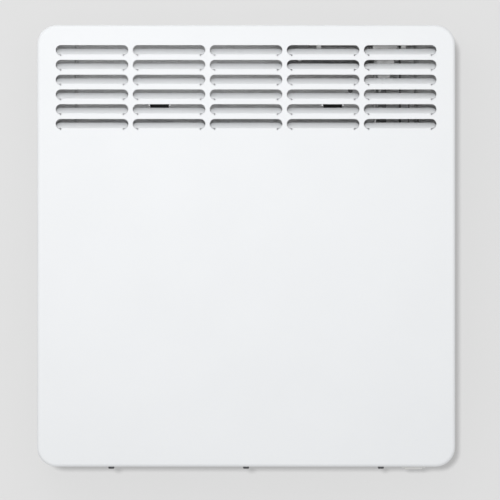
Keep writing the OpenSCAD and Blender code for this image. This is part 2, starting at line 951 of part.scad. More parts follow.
// Connection pins at the tube's ends, each in a ceramic bead
module tube_terminals() {
    color("tan")
        for (z = run_zs) {
            rod_x(tube_end, tube_end + pin_len, element_y, z, pin_r);
            rod_x(tube_end, tube_end + pin_bead_len, element_y, z, pin_bead_r);
        }
}

// Flanged plate that carries the left end of the element
module element_bracket() {
    plate_front = element_y - fin_w / 2 + 6;
    half = fin_h / 2 + 4;
    window_r = 8;
    color("lightsteelblue")
        difference() {
            union() {
                slab_x(bracket_x, bracket_x + inner_t)
                    difference() {
                        span([plate_front, element_z - half], [panel_front, element_z + half]);
                        for (z = run_zs)
                            translate([element_y, z])
                                circle(tube_r + tube_clear);
                        translate([(element_y + tube_r + panel_front) / 2, element_z])
                            circle(window_r);
                    }
                slab_y(panel_front - inner_t, panel_front)
                    span([bracket_x - inner_flange, element_z - half],
                         [bracket_x, element_z + half]);
            }
            for (p = bracket_rivets)
                rod_y(p.x, p.y, panel_front - inner_t - over, panel_front + over, rivet_hole_r);
        }
}

// Folded sheet between the fins and the back panel
module heat_shield() {
    inner_front = shield_y + inner_t;
    color("lightgray")
        difference() {
            slab_x(shield_left, shield_right) {
                span([shield_y, shield_low], [inner_front, shield_top]);
                for (s = [-1, 1])
                    let (edge = s > 0 ? shield_top : shield_low) {
                        span([shield_y, min(edge, edge - s * inner_t)],
                             [panel_front, max(edge, edge - s * inner_t)]);
                        span([panel_front - inner_t, min(edge, edge + s * inner_flange)],
                             [panel_front, max(edge, edge + s * inner_flange)]);
                    }
            }
            for (p = shield_rivets)
                rod_y(p.x, p.y, panel_front - inner_t - over, panel_front + over, rivet_hole_r);
        }
}

// Outline of the leaf-shaped tab in front of the partition's edge
gusset_points = [
    [part_left, top_z - 130], [part_x, top_z - 130], [part_x + 0.4, top_z - 99],
    [part_x + 2.2, top_z - 84], [part_x + 4.8, top_z - 69], [part_x + 8, top_z - 60],
    [part_x + 13.9, top_z - 53.5], [part_x + 18.9, top_z - 42], [part_x + 18.9, top_z - 27],
    [part_x + 22.4, top_z - 25], [part_x + 22.4, top_z - 12], [part_x - 2.7, top_z - 12],
    [part_x - 2.7, top_z - 25], [part_x + 1, top_z - 27], [part_x + 1, top_z - 38],
    [part_x + 2.2, top_z - 53.5], [part_x + 3.6, top_z - 69], [part_x + 1.2, top_z - 84],
    [part_left, top_z - 99]
];

// Upright plate between the heated space and the bay, with three flanges
module partition_plate() {
    color("gainsboro")
        difference() {
            union() {
                slab_x(part_left, part_x)
                    span([part_front, low_in], [panel_front, unit_floor - seat_gap]);
                slab_y(part_front, part_front + inner_t)
                    polygon(gusset_points);
                slab_y(panel_front - inner_t, panel_front)
                    span([part_x, low_z + part_flange_inset],
                         [part_x + inner_flange, top_z - part_flange_inset]);
                slab_z(low_in, low_in + inner_t)
                    span([part_x, cover_screw_y - foot_margin],
                         [part_x + inner_flange, mid_y + foot_reach]);
            }
            for (z = run_zs)
                rod_x(part_left - over, part_x + over, element_y, z, bush_r + tube_clear);
            for (s = [-1, 1])
                rod_x(part_left - over, part_x + over, element_y + s * pin_pitch, cutout_pin_z,
                      grommet_r);
            for (p = partition_rivets)
                rod_y(p.x, p.y, panel_front - inner_t - over, panel_front + over, rivet_hole_r);
            slab_z(low_in - over, low_in + inner_t + over)
                translate([cover_screw_x, cover_screw_y])
                    circle(shank_hole_r);
        }
}

// Shelf that keeps the warm air off the control unit, with a cheek at its left end
module control_shelf() {
    color("gainsboro")
        difference() {
            union() {
                slab_z(shelf_z - inner_t, shelf_z)
                    span([shelf_x, shelf_front], [part_left, panel_front]);
                slab_x(shelf_x, shelf_x + inner_t)
                    span([shelf_front, shelf_z], [panel_front, top_in - seat_gap]);
                slab_y(panel_front - inner_t, panel_front)
                    span([shelf_x, shelf_z - inner_t],
                         [part_left, shelf_z + shelf_rivet_rise + inner_flange / 2]);
            }
            for (p = shelf_rivets)
                rod_y(p.x, p.y, panel_front - inner_t - over, panel_front + over, rivet_hole_r);
        }
}

// Bimetal cutout: a metal disc below a moulded body with two blades
module thermal_cutout() {
    disc_z = cutout_z + inner_t;
    body_z = disc_z + cutout_disc_t;
    color("#2a2a2a") {
        rod_z(cutout_x, element_y, disc_z, body_z, cutout_disc_r);
        slab_z(body_z, body_z + cutout_body_h)
            translate([cutout_x, element_y])
                round_rect(cutout_body_w, cutout_body_d, 2);
        for (s = [-1, 1])
            slab_z(cutout_pin_z - blade_t / 2, cutout_pin_z + blade_t / 2)
                translate([0, element_y + s * pin_pitch])
                    span([cutout_x + cutout_body_w / 2, -blade_w / 2],
                         [cutout_pin_x, blade_w / 2]);
    }
}

// Angle on the partition that holds the cutout above the fins
module cutout_bracket() {
    half = cutout_plate_half;
    color("lightsteelblue") {
        difference() {
            slab_z(cutout_z, cutout_z + inner_t)
                translate([0, element_y])
                    span([cutout_x - half, -half], [part_left, half]);
            rod_z(cutout_x, element_y, cutout_z - over, cutout_z + inner_t + over, cutout_hole_r);
        }
        slab_x(part_left - inner_t, part_left)
            translate([element_y, cutout_z])
                span([-half, -cutout_plate_drop], [half, 0]);
    }
}

// Tray of the control unit, hung below the top of the cover
module control_housing() {
    outer_len = cavity_len + 2 * unit_wall;
    outer_d = cavity_d + 2 * unit_wall;
    leg_low_z = unit_floor - 6;
    leg_half = 2.4;
    barb_h = 2.5;
    barb_d = 1.2;
    front = mid_y - outer_d / 2;
    rim = 6;
    color("whitesmoke") {
        difference() {
            union() {
                slab_z(unit_floor, top_in)
                    translate([unit_x, mid_y])
                        round_rect(outer_len, outer_d, 3);
                slab_z(bezel_back, top_in)
                    translate([unit_x, mid_y])
                        round_rect(outer_len + rim, outer_d + rim - 2, 4);
            }
            slab_z(unit_floor + floor_t, top_in + over)
                translate([unit_x, mid_y])
                    round_rect(cavity_len, cavity_d, 1.5);
            slab_z(unit_floor - over, unit_floor + floor_t + over)
                span([pin_x - connector_half - 1, pin_ys[0] - 4],
                     [pin_x + connector_half + 1, pin_ys[4] + 4]);
        }
        difference() {
            for (sx = [-1, 1], sy = [-1, 1])
                rod_z(unit_x + sx * post_dx, mid_y + sy * post_dy, unit_floor + floor_t,
                      board_low, post_r);
            for (sx = [-1, 1], sy = [-1, 1])
                rod_z(unit_x + sx * post_dx, mid_y + sy * post_dy, unit_floor + floor_t + 1,
                      board_low + over, board_screw_r + shank_clear);
        }
        for (s = [-1, 1])
            translate([unit_x + s * snap_span / 2, 0, 0])
                slab_x(-leg_half, leg_half) {
                    span([front, leg_low_z], [front + unit_wall, unit_floor]);
                    polygon([
                        [front, leg_low_z], [front, leg_low_z + barb_h],
                        [front - barb_d, leg_low_z + barb_h]
                    ]);
                }
    }
}

// Fascia in the top of the cover, with a stepped window and four button holes
module control_bezel() {
    color("white")
        difference() {
            union() {
                slab_z(top_in - over / 2, bezel_face)
                    translate([unit_x, mid_y])
                        round_rect(unit_len - 2 * bezel_edge, unit_d - 2 * bezel_edge,
                                   4 - bezel_edge);
                slab_z(bezel_back, top_in)
                    translate([unit_x, mid_y])
                        round_rect(cavity_len - 2 * bezel_edge, cavity_d - 2 * bezel_edge, 1.2);
            }
            slab_z(bezel_back - over, bezel_face + over)
                translate([display_x, mid_y])
                    square([display_len - 2 * lens_ledge, display_d - 2 * lens_ledge],
                           center = true);
            slab_z(bezel_face - lens_t - lens_edge, bezel_face + over)
                translate([display_x, mid_y])
                    round_rect(display_len, display_d, 1.5);
            for (x = button_xs)
                slab_z(bezel_back - over, bezel_face + over)
                    translate([x, mid_y])
                        rotate([0, 0, 90])
                            stadium(button_l + 2 * seat_gap, button_w + 2 * seat_gap);
        }
}

module display_lens() {
    color("#202428")
        slab_z(bezel_face - lens_t - lens_edge, bezel_face - lens_edge)
            translate([display_x, mid_y])
                round_rect(display_len - 2 * lens_edge, display_d - 2 * lens_edge,
                           1.5 - lens_edge);
}

// Display module that stands on the board behind the window
module lcd_display() {
    color("#8a9a86") {
        slab_z(board_top, bezel_back - seat_gap)
            translate([display_x, mid_y])
                square([display_len + 2, display_d + 2], center = true);
    }
}

module circuit_board() {
    color("#1f5a34")
        difference() {
            slab_z(board_low, board_top)
                translate([unit_x, mid_y])
                    square([board_len, board_d], center = true);
            for (sx = [-1, 1], sy = [-1, 1])
                rod_z(unit_x + sx * post_dx, mid_y + sy * post_dy, board_low - over,
                      board_top + over, board_hole_r);
        }
}

// Push switches under the four buttons
module tact_switches() {
    color("#252525")
        for (x = button_xs) {
            slab_z(board_top, board_top + tact_h)
                translate([x, mid_y])
                    square(tact_w, center = true);
            rod_z(x, mid_y, board_top + tact_h, board_top + tact_h + plunger_h, plunger_r);
        }
}

// Relay, transformer, capacitors and wire connector under the board
module board_parts() {
    relay = [20, 14, 7.6];
    transformer = [20, 22, 8.2];
    capacitor_r = 3.4;
    capacitor_h = 7;
    color("#303438") {
        slab_z(board_low - relay.z, board_low)
            span([unit_x - 30, mid_y - relay.y], [unit_x - 30 + relay.x, mid_y]);
        slab_z(board_low - transformer.z, board_low)
            span([unit_x - 4, mid_y - 12], [unit_x - 4 + transformer.x, mid_y - 12 + transformer.y]);
        for (i = [0 : 2])
            rod_z(unit_x - 36 + i * 9, mid_y + 8, board_low - capacitor_h, board_low, capacitor_r);
        slab_z(connector_z, board_low)
            span([pin_x - connector_half, pin_ys[0] - 3], [pin_x + connector_half, pin_ys[4] + 3]);
    }
}

module board_screws() {
    color("silver")
        for (sx = [-1, 1], sy = [-1, 1])
            translate([unit_x + sx * post_dx, mid_y + sy * post_dy, 0]) {
                rod_z(0, 0, board_low - 5, board_top, board_screw_r);
                rod_z(0, 0, board_top, board_top + board_head_h, board_head_r);
            }
}

// A button: a dished cap above a flange that the bezel holds back, on a short stem
module push_button(x) {
    cap_top = top_z - 0.1;
    flange_top = bezel_back - seat_gap;
    flange_low = flange_top - button_flange_t;
    dish_r = 40;
    translate([x, mid_y, 0]) {
        difference() {
            slab_z(flange_top, cap_top)
                rotate([0, 0, 90])
                    stadium(button_l, button_w);
            translate([0, 0, cap_top + dish_r - 0.4])
                sphere(dish_r, $fn = 128);
        }
        slab_z(flange_low, flange_top)
            rotate([0, 0, 90])
                stadium(button_l + 2 * button_flange, button_w + 2 * button_flange);
        rod_z(0, 0, stem_end, flange_low, 2);
    }
}

module button_minus() {
    color("lightgray")
        push_button(button_xs[0]);
}

module button_plus() {
    color("lightgray")
        push_button(button_xs[1]);
}

module button_mode() {
    color("lightgray")
        push_button(button_xs[2]);
}

module button_timer() {
    color("lightgray")
        push_button(button_xs[3]);
}

// Three-pole terminal block on the back panel, with wire ways from above and below
module terminal_block() {
    half = 1.5 * pole_pitch + 2;
    groove_half = 0.6;
    color("ivory")
        difference() {
            slab_y(block_face, panel_front)
                span([block_x - half, block_z], [block_x + half, block_top]);
            for (x = pole_xs) {
                rod_z(x, pole_y, block_top - 7, block_top + over, wire_r + 0.5);
                rod_z(x, pole_y, block_z - over, block_z + 7, 2);
                rod_y(x, pole_z, block_face - over, block_face + 5, pole_screw_r + 0.1);
            }
            for (s = [-0.5, 0.5])
                slab_y(block_face - over, block_face + 3)
                    span([block_x + s * pole_pitch - groove_half, block_z - over],
                         [block_x + s * pole_pitch + groove_half, block_top + over]);
        }
}

module terminal_screws() {
    slit_half = 0.4;
    color("gold")
        for (x = pole_xs)
            difference() {
                rod_y(x, pole_z, block_face + 1, block_face + 5, pole_screw_r);
                slab_y(block_face, block_face + 1.8)
                    span([x - 3, pole_z - slit_half], [x + 3, pole_z + slit_half]);
            }
}

// Earth stud through the back panel, with its nut
module earth_stud() {
    stud_len = 12;
    stud_head_r = 3.6;
    stud_head_h = 1.4;
    nut_h = 2.6;
    color("silver") {
        rod_y(earth_x, earth_z, panel_front - stud_len, panel_back + stud_head_h, screw_r);
        rod_y(earth_x, earth_z, panel_back, panel_back + stud_head_h, stud_head_r);
        slab_y(panel_front - nut_h, panel_front)
            translate([earth_x, earth_z])
                circle(4, $fn = 6);
    }
}

// Gland for the mains cord, through the back panel
module cord_gland() {
    color("whitesmoke")
        translate([gland_x, panel_back, gland_z])
            rotate([-90, 0, 0])
                difference() {
                    union() {
                        translate([0, 0, -gland_inner])
                            cylinder(r = gland_r, h = gland_inner);
                        cylinder(r = gland_flange_r, h = gland_flange_t);
                        translate([0, 0, gland_flange_t])
                            cylinder(r1 = gland_r + 0.4, r2 = gland_r - 1.4,
                                     h = gland_nose - gland_flange_t);
                    }
                    translate([0, 0, -gland_inner - over])
                        cylinder(r = cord_bore_r, h = gland_inner + gland_nose + 2 * over);
                }
}

module gland_nut() {
    color("gainsboro")
        difference() {
            slab_y(panel_front - gland_nut_t, panel_front)
                translate([gland_x, gland_z])
                    circle(gland_nut_r, $fn = 6);
            rod_y(gland_x, gland_z, panel_front - gland_nut_t - over, panel_front + over,
                  gland_r + shank_clear);
        }
}

// Grooved rubber rings round the two wires through the partition
module wire_grommets() {
    lip = 1.2;
    color("#303030")
        for (s = [-1, 1])
            translate([part_left - lip, element_y + s * pin_pitch, cutout_pin_z])
                rotate([0, 90, 0])
                    rotate_extrude()
                        difference() {
                            translate([wire_r + 0.2, 0])
                                square([grommet_r + lip - wire_r - 0.2, inner_t + 2 * lip]);
                            translate([grommet_r - 0.1, lip])
                                square([lip + over, inner_t]);
                        }
}

// Internal wires, each on its own route from terminal to terminal
blade_xs = [switch_x - blade_dx, switch_x + blade_dx];
live_y = switch_y - blade_dy;
feed_y = switch_y + blade_dy;
rise_z = block_top + 16;
cross_z = rise_z + 7;
live_z = top_z - 75;
neutral_z = top_z - 90;
sensor_z = top_z - 110;
earth_top = block_top + 9;
return_x = pin_x + 6;
wire_routes = [
    [[pole_xs[0], pole_y, block_top - 6], [pole_xs[0], pole_y, rise_z],
     [pole_xs[0], feed_y, rise_z], [blade_xs[0], feed_y, rise_z],
     [blade_xs[0], feed_y, blade_top]],
    [[pole_xs[1], pole_y, block_top - 6], [pole_xs[1], pole_y, cross_z],
     [pole_xs[1], feed_y, cross_z], [blade_xs[1], feed_y, cross_z],
     [blade_xs[1], feed_y, blade_top]],
    [[blade_xs[0], live_y, blade_top], [blade_xs[0], live_y, live_z],
     [blade_xs[0], pin_ys[0], live_z], [pin_x, pin_ys[0], live_z],
     [pin_x, pin_ys[0], connector_z]],
    [[blade_xs[1], live_y, blade_top], [blade_xs[1], live_y, neutral_z],
     [blade_xs[1], pin_ys[1], neutral_z], [pin_x, pin_ys[1], neutral_z],
     [pin_x, pin_ys[1], connector_z]],
    [[pin_x, pin_ys[2], connector_z], [pin_x, pin_ys[2], run_zs[0]],
     [tube_end + pin_len, pin_ys[2], run_zs[0]]],
    [[pin_x, pin_ys[3], connector_z], [pin_x, pin_ys[3], cutout_pin_z],
     [cutout_pin_x, pin_ys[3], cutout_pin_z]],
    [[cutout_pin_x, pin_ys[1], cutout_pin_z], [return_x, pin_ys[1], cutout_pin_z],
     [return_x, pin_ys[1], run_zs[1]], [return_x, pin_ys[2], run_zs[1]],
     [tube_end + pin_len, pin_ys[2], run_zs[1]]],
    [[sensor_x, pin_ys[4], sensor_top], [sensor_x, pin_ys[4], sensor_z],
     [pin_x, pin_ys[4], sensor_z], [pin_x, pin_ys[4], connector_z]],
    [[pole_xs[2], pole_y, block_top - 6], [pole_xs[2], pole_y, earth_top],
     [earth_x, pole_y, earth_top], [earth_x, pole_y, earth_z + 5]]
];

module wiring() {
    ring_r = 4;
    ring_half = 0.6;
    neck_half = 1.6;
    color("#5c4a3a") {
        for (p = wire_routes)
            bent_rod(p, wire_r, wire_bend_r);
        slab_y(pole_y - ring_half, pole_y + ring_half)
            difference() {
                union() {
                    translate([earth_x, earth_z])
                        circle(ring_r);
                    span([earth_x - neck_half, earth_z], [earth_x + neck_half, earth_z + 6]);
                }
                translate([earth_x, earth_z])
                    circle(screw_r + shank_clear);
            }
    }
}

// Room-air sensor: a bead on a small holder that stands on the bottom of the cover
module room_sensor() {
    color("whitesmoke") {
        slab_z(low_in, low_in + sensor_base_h)
            translate([sensor_x, pin_ys[4]])
                round_rect(10, 8, 1.5);
        rod_z(sensor_x, pin_ys[4], low_in + sensor_base_h, sensor_top, sensor_bead_r);
    }
}

// Frame of the mains switch: a bezel below the cover and a body inside it
module switch_frame() {
    color("whitesmoke")
        difference() {
            union() {
                slab_z(switch_face, low_z)
                    translate([switch_x, switch_y])
                        round_rect(switch_w, switch_d, 2);
                slab_z(low_z, low_z + switch_body_h)
                    translate([switch_x, switch_y])
                        square([switch_body_w, switch_body_d], center = true);
            }
            rod_x(switch_x - rocker_w / 2 - rocker_clear, switch_x + rocker_w / 2 + rocker_clear,
                  switch_y, pivot_z, rocker_r + rocker_clear);
            rod_x(switch_x - switch_body_w / 2 - over, switch_x + switch_body_w / 2 + over,
                  switch_y, pivot_z, rocker_pin_r + rocker_pin_clear);
        }
}

// Rocker with a hollow V face and round ends, shown in its off position
module switch_rocker() {
    reach = rocker_r + 1;
    face = rocker_pivot + 0.3;
    color("white")
        translate([switch_x, switch_y, pivot_z])
            rotate([-rocker_tilt, 0, 0]) {
                rotate([90, 0, 90])
                    linear_extrude(rocker_w, center = true)
                        intersection() {
                            circle(rocker_r);
                            polygon([
                                [-reach, 3], [reach, 3], [reach, -face - reach * tan(rocker_tilt)],
                                [0, -face], [-reach, -face - reach * tan(rocker_tilt)]
                            ]);
                        }
                rod_x(-rocker_w / 2 - rocker_pin_len, rocker_w / 2 + rocker_pin_len, 0, 0,
                      rocker_pin_r);
            }
}

// Four connection blades on top of the switch
module switch_blades() {
    color("goldenrod")
        for (x = blade_xs, y = [live_y, feed_y])
            slab_z(low_z + switch_body_h, blade_top)
                translate([x, y])
                    square([blade_w, blade_t], center = true);
}

front_cover();
back_panel();
wall_bracket();
inlet_grille();
cover_screws();
panel_screws();
rivets();
buffer_pads();
heating_tube();
heat_fins();
ceramic_bushes();
tube_terminals();
element_bracket();
heat_shield();
partition_plate();
control_shelf();
thermal_cutout();
cutout_bracket();
control_housing();
control_bezel();
display_lens();
lcd_display();
circuit_board();
tact_switches();
board_parts();
board_screws();
button_minus();
button_plus();
button_mode();
button_timer();
terminal_block();
terminal_screws();
earth_stud();
cord_gland();
gland_nut();
wire_grommets();
wiring();
room_sensor();
switch_frame();
switch_rocker();
switch_blades();
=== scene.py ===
# %% [markdown]
# # A white wall convector heater
# This notebook dresses a wall heater: a pressed-steel cover with six rows of louvres, the
# finned element that warms the air behind them, the electrics at its right-hand end, and
# the bracket that it hangs from. The engineering model arrives as a fixed frame. Everything
# added here is finish: paint, zinc, ceramic, screws, light and a camera.

# %% Load the frame
import math

import bmesh
import bpy
from mathutils import Matrix, Vector


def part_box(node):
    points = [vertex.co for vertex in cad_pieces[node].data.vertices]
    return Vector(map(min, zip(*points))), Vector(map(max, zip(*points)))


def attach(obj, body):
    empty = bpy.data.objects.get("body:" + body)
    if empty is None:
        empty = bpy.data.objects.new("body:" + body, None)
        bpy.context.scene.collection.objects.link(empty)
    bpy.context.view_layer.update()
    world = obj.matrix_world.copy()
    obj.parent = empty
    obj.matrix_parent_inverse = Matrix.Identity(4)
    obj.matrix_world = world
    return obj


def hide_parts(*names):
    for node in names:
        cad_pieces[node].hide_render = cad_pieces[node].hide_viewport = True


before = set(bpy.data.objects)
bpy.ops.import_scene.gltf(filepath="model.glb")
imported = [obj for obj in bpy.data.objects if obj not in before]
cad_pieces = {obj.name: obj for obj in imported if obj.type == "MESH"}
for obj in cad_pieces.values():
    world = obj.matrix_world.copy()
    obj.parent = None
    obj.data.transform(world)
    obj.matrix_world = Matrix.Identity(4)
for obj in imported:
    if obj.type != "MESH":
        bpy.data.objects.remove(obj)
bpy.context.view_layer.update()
MM = 0.001
print("pieces in the frame:", len(cad_pieces))

# %% [markdown]
# ## The camera
# The photograph is a catalogue view: square on to the face and from far away, so upright
# edges stay upright and the side walls vanish behind the face. A short lens close by would
# show the sides. A very long lens from several metres off gives the flat look, and it stays
# a true perspective camera, so other views work with it too. At the face the picture spans
# FRAMED_WIDTH, in metres, and LOOK_X and LOOK_Z are the place of its middle.

# %% Place the camera
SENSOR_MM = 36.0
LENS_MM = 600.0
FRAMED_WIDTH = 0.5095
LOOK_X = 0.0040
LOOK_Z = -0.0042
CLIP_END = 100
face_low, face_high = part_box("front_cover")
camera_data = bpy.data.cameras.new("catalogue_camera")
camera_data.sensor_width = SENSOR_MM
camera_data.lens = LENS_MM
camera_data.clip_end = CLIP_END
camera = bpy.data.objects.new("catalogue_camera", camera_data)
bpy.context.scene.collection.objects.link(camera)
distance = FRAMED_WIDTH * LENS_MM / SENSOR_MM
camera.location = (LOOK_X, face_low.y - distance, LOOK_Z)
camera.rotation_euler = (math.radians(90), 0, 0)
bpy.context.scene.camera = camera
print("camera distance in metres:", round(distance, 2))

# %% [markdown]
# ## Writing shaders as sums
# A material is a graph of small nodes, and wiring each by hand hides the idea behind it.
# The class below wraps one socket, so that `0.4 + 0.1 * grain` adds the Math nodes by
# itself. Any other node comes from one method, which takes its type, its settings and what
# its sockets get. Colours are mixed by a Mix node, because a Math node would turn them grey.

# %% A socket that can be used in sums
class Signal:
    """A number that varies over a surface."""

    def __init__(self, tree, socket):
        self.tree = tree
        self.socket = socket

    def combine(self, operation, first, second):
        """A Math node whose inputs are signals or plain numbers."""
        maths = self.tree.nodes.new("ShaderNodeMath")
        maths.operation = operation
        for slot, value in zip(maths.inputs, (first, second)):
            if isinstance(value, Signal):
                self.tree.links.new(value.socket, slot)
            else:
                slot.default_value = value
        return Signal(self.tree, maths.outputs[0])

    def __add__(self, other):
        return self.combine("ADD", self, other)

    def __radd__(self, other):
        return self.combine("ADD", other, self)

    def __rsub__(self, other):
        return self.combine("SUBTRACT", other, self)

    def __mul__(self, other):
        return self.combine("MULTIPLY", self, other)

    def __rmul__(self, other):
        return self.combine("MULTIPLY", other, self)


# %% A finish: one material and the nodes behind it
# A Mix node has sockets for numbers, vectors and colours. These are its amount and the
# ones for colours.
MIX_AMOUNT = 0
MIX_FIRST = 6
MIX_SECOND = 7
MIX_RESULT = 2
EDGE_SAMPLES = 6


class Finish:
    """A material with its node tree. Values that are the same all over are set here."""

    def __init__(self, name, **even):
        self.material = bpy.data.materials.new(name)
        self.material.use_nodes = True
        self.tree = self.material.node_tree
        self.shader = self.tree.nodes["Principled BSDF"]
        for key, value in even.items():
            label = key.replace("_", " ").title().replace("Ior", "IOR")
            self.shader.inputs[label].default_value = value

    def node(self, kind, settings, sockets, output=0):
        """Any node, by its type, its settings and what its sockets get."""
        made = self.tree.nodes.new(kind)
        for key, value in settings.items():
            setattr(made, key, value)
        for key, value in sockets.items():
            if isinstance(value, Signal):
                self.tree.links.new(value.socket, made.inputs[key])
            else:
                made.inputs[key].default_value = value
        return Signal(self.tree, made.outputs[output])

    def place(self):
        """Where a point of the piece lies, in metres, riding with the piece."""
        return self.node("ShaderNodeTexCoord", {}, {}, "Object")

    def stretched(self, along_x, along_y, along_z):
        """The same place, drawn out so that a texture becomes lines."""
        return self.node("ShaderNodeMapping", {}, {
            "Vector": self.place(), "Scale": (along_x, along_y, along_z)})

    def noise(self, size_mm, detail, where=None):
        """Soft clouds of about this size, with this many finer layers."""
        return self.node("ShaderNodeTexNoise", {}, {
            "Vector": where or self.place(), "Scale": 1 / (size_mm * MM), "Detail": detail})

    def cells(self, size_mm, feature, output):
        """Cells of about this size, such as crystals or rounded pits."""
        return self.node("ShaderNodeTexVoronoi", {"feature": feature}, {
            "Vector": self.place(), "Scale": 1 / (size_mm * MM)}, output)

    def blend(self, amount, first, second):
        """A colour between two colours."""
        return self.node("ShaderNodeMix", {"data_type": "RGBA"}, {
            MIX_AMOUNT: amount, MIX_FIRST: first, MIX_SECOND: second}, MIX_RESULT)

    def ramp(self, amount, stops):
        """A colour from a row of stops, each with its place and its colour."""
        result = self.node("ShaderNodeValToRGB", {}, {"Fac": amount})
        elements = result.socket.node.color_ramp.elements
        while len(elements) < len(stops):
            elements.new(0.5)
        for element, (place, colour) in zip(elements, stops):
            element.position = place
            element.color = (*colour, 1)
        return result

    def bump(self, height, depth_mm, strength, normal=None):
        """Tilts the light as if the surface rose by up to this depth."""
        sockets = {"Height": height, "Distance": depth_mm * MM, "Strength": strength}
        if normal:
            sockets["Normal"] = normal
        return self.node("ShaderNodeBump", {}, sockets)

    def soft_edges(self, radius_mm):
        """Catches light on edges, as real folds and mouldings do."""
        return self.node("ShaderNodeBevel", {"samples": EDGE_SAMPLES}, {"Radius": radius_mm * MM})

    def feed(self, socket, signal):
        """Lets a signal drive a socket of the shader."""
        self.tree.links.new(signal.socket, self.shader.inputs[socket])


# %% Put a finish on pieces of the frame
def dress(finish, *names):
    """Gives each named piece this finish alone."""
    for name in names:
        slots = cad_pieces[name].data.materials
        slots.clear()
        slots.append(finish.material)
    print(finish.material.name, "is on", ", ".join(names))


# %% [markdown]
# ## White powder coat
# The cover is sprayed with dry powder and baked. Under a lamp the film isn't flat: it has a
# shallow ripple, a millimetre or two across, known as orange peel, and a soft sheen. Two
# noises give the ripple and its finer grain, and a bevel on every edge gives the thin bright
# lines where the paint goes round the louvres. An image would blur at this scale.

# %% Coat the sheet steel
coat_dim = (0.788, 0.803, 0.818, 1)
coat_clear = (0.814, 0.829, 0.844, 1)
powder_coat = Finish("powder_coat", specular_ior_level=0.42)
ripple = powder_coat.noise(size_mm=2.2, detail=2.0)
grain = powder_coat.noise(size_mm=0.45, detail=1.0)
powder_coat.feed("Base Color", powder_coat.blend(
    powder_coat.noise(size_mm=60, detail=2.0), coat_dim, coat_clear))
powder_coat.feed("Roughness", 0.36 + 0.10 * powder_coat.noise(size_mm=9, detail=3.0))
powder_coat.feed("Normal", powder_coat.bump(
    ripple + 0.3 * grain, depth_mm=0.03, strength=0.35,
    normal=powder_coat.soft_edges(radius_mm=0.2)))
dress(powder_coat, "front_cover", "inlet_grille")

# %% [markdown]
# ## Galvanised sheet
# The back panel and the inner plates are cut from zinc-coated coil. Zinc freezes in flat
# crystals, the spangle, and each of them reflects a little differently. A noise alone would
# give clouds without edges. A Voronoi texture gives one value per crystal instead, which
# shifts both the grey and the gloss, and the noise only washes over it. The inner plates get
# the same zinc in much darker greys, which is painted shade for the gloom inside the casing.

# %% Coat the plates with zinc
def grey(value):
    """An even grey, from 0 for black to 1 for white."""
    return (value, value, value, 1)


def zinc(name, dark, light, spangle_mm, metallic):
    """Zinc-coated sheet whose crystals lie between two greys."""
    finish = Finish(name, metallic=metallic)
    rise = finish.cells(spangle_mm, "F1", "Distance")
    tone = finish.cells(spangle_mm, "F1", "Color")
    crystal = finish.node("ShaderNodeSeparateColor", {}, {"Color": tone}, "Red")
    wash = finish.noise(size_mm=25, detail=4.0)
    finish.feed("Base Color", finish.blend(0.55 * crystal + 0.45 * wash, grey(dark), grey(light)))
    finish.feed("Roughness", 0.34 + 0.22 * crystal)
    finish.feed("Normal", finish.bump(
        rise, depth_mm=0.02, strength=0.25, normal=finish.soft_edges(radius_mm=0.25)))
    return finish


panel_zinc = zinc("panel_zinc", dark=0.66, light=0.80, spangle_mm=7, metallic=0.35)
# The inner plates' darker greys are painted shade, not a different zinc
plate_zinc_darkened_as_shade = zinc("plate_zinc_darkened_as_shade", dark=0.27, light=0.35, spangle_mm=8, metallic=0.6)
dress(panel_zinc, "back_panel", "element_bracket", "heat_shield")
dress(plate_zinc_darkened_as_shade, "partition_plate", "control_shelf", "cutout_bracket")

# %% [markdown]
# ## The bracket, black as painted shade
# The wall bracket is given a near-black coat, so that it shows as dark slits behind the fifth
# row of louvres. The black is painted shade for the gap behind the back panel. One even black
# would look like a hole in the picture. As a powder coat it gets what the white one has, clouds
# in its colour and gloss and a noise for its grain, but one noise is enough on a piece that is mostly
# hidden.

# %% Coat the wall bracket black as painted shade
bracket_black_as_shade = Finish("bracket_black_as_shade", specular_ior_level=0.4)
# Near-black colour: painted shade for the dark gap seen through the hook windows
bracket_black_as_shade.feed("Base Color", bracket_black_as_shade.blend(
    bracket_black_as_shade.noise(size_mm=20, detail=3.0), grey(0.012), grey(0.020)))
bracket_black_as_shade.feed("Roughness", 0.45 + 0.15 * bracket_black_as_shade.noise(size_mm=6, detail=3.0))
bracket_black_as_shade.feed("Normal", bracket_black_as_shade.bump(
    bracket_black_as_shade.noise(size_mm=1.6, detail=2.0), depth_mm=0.04, strength=0.5,
    normal=bracket_black_as_shade.soft_edges(radius_mm=0.3)))
dress(bracket_black_as_shade, "wall_bracket")

# %% [markdown]
# ## The element
# The tube is a steel sheath that has been red hot once, at the factory, so it is brown and
# blue in soft bands. Painted bands would need an unwrapped tube, but a colour ramp makes them
# of one noise. The fins are thin rolled aluminium with fine lines from the mill, which are a
# noise drawn out along Z. The ceramic bushes are unglazed and slightly speckled.

# %% Tint the tube
heat_tint = Finish("heat_tint", metallic=0.85)
heat_tint.feed("Base Color", heat_tint.ramp(heat_tint.noise(size_mm=18, detail=3.0), [
    (0.30, (0.20, 0.15, 0.11)), (0.5, (0.31, 0.27, 0.24)), (0.68, (0.17, 0.18, 0.23))]))
heat_tint.feed("Roughness", 0.35 + 0.2 * heat_tint.noise(size_mm=3, detail=3.0))
heat_tint.feed("Normal", heat_tint.bump(
    heat_tint.noise(size_mm=0.8, detail=3.0), depth_mm=0.03, strength=0.3))
dress(heat_tint, "heating_tube", "tube_terminals")

# %% Roll the fins
rolled = Finish("rolled_aluminium", metallic=1.0)
mill_lines = rolled.noise(size_mm=0.5, detail=3.0, where=rolled.stretched(1, 1, 0.04))
rolled.feed("Base Color", rolled.blend(mill_lines, grey(0.62), grey(0.80)))
rolled.feed("Roughness", 0.26 + 0.16 * mill_lines)
rolled.feed("Normal", rolled.bump(mill_lines, depth_mm=0.01, strength=0.4))
dress(rolled, "heat_fins", "rivets")

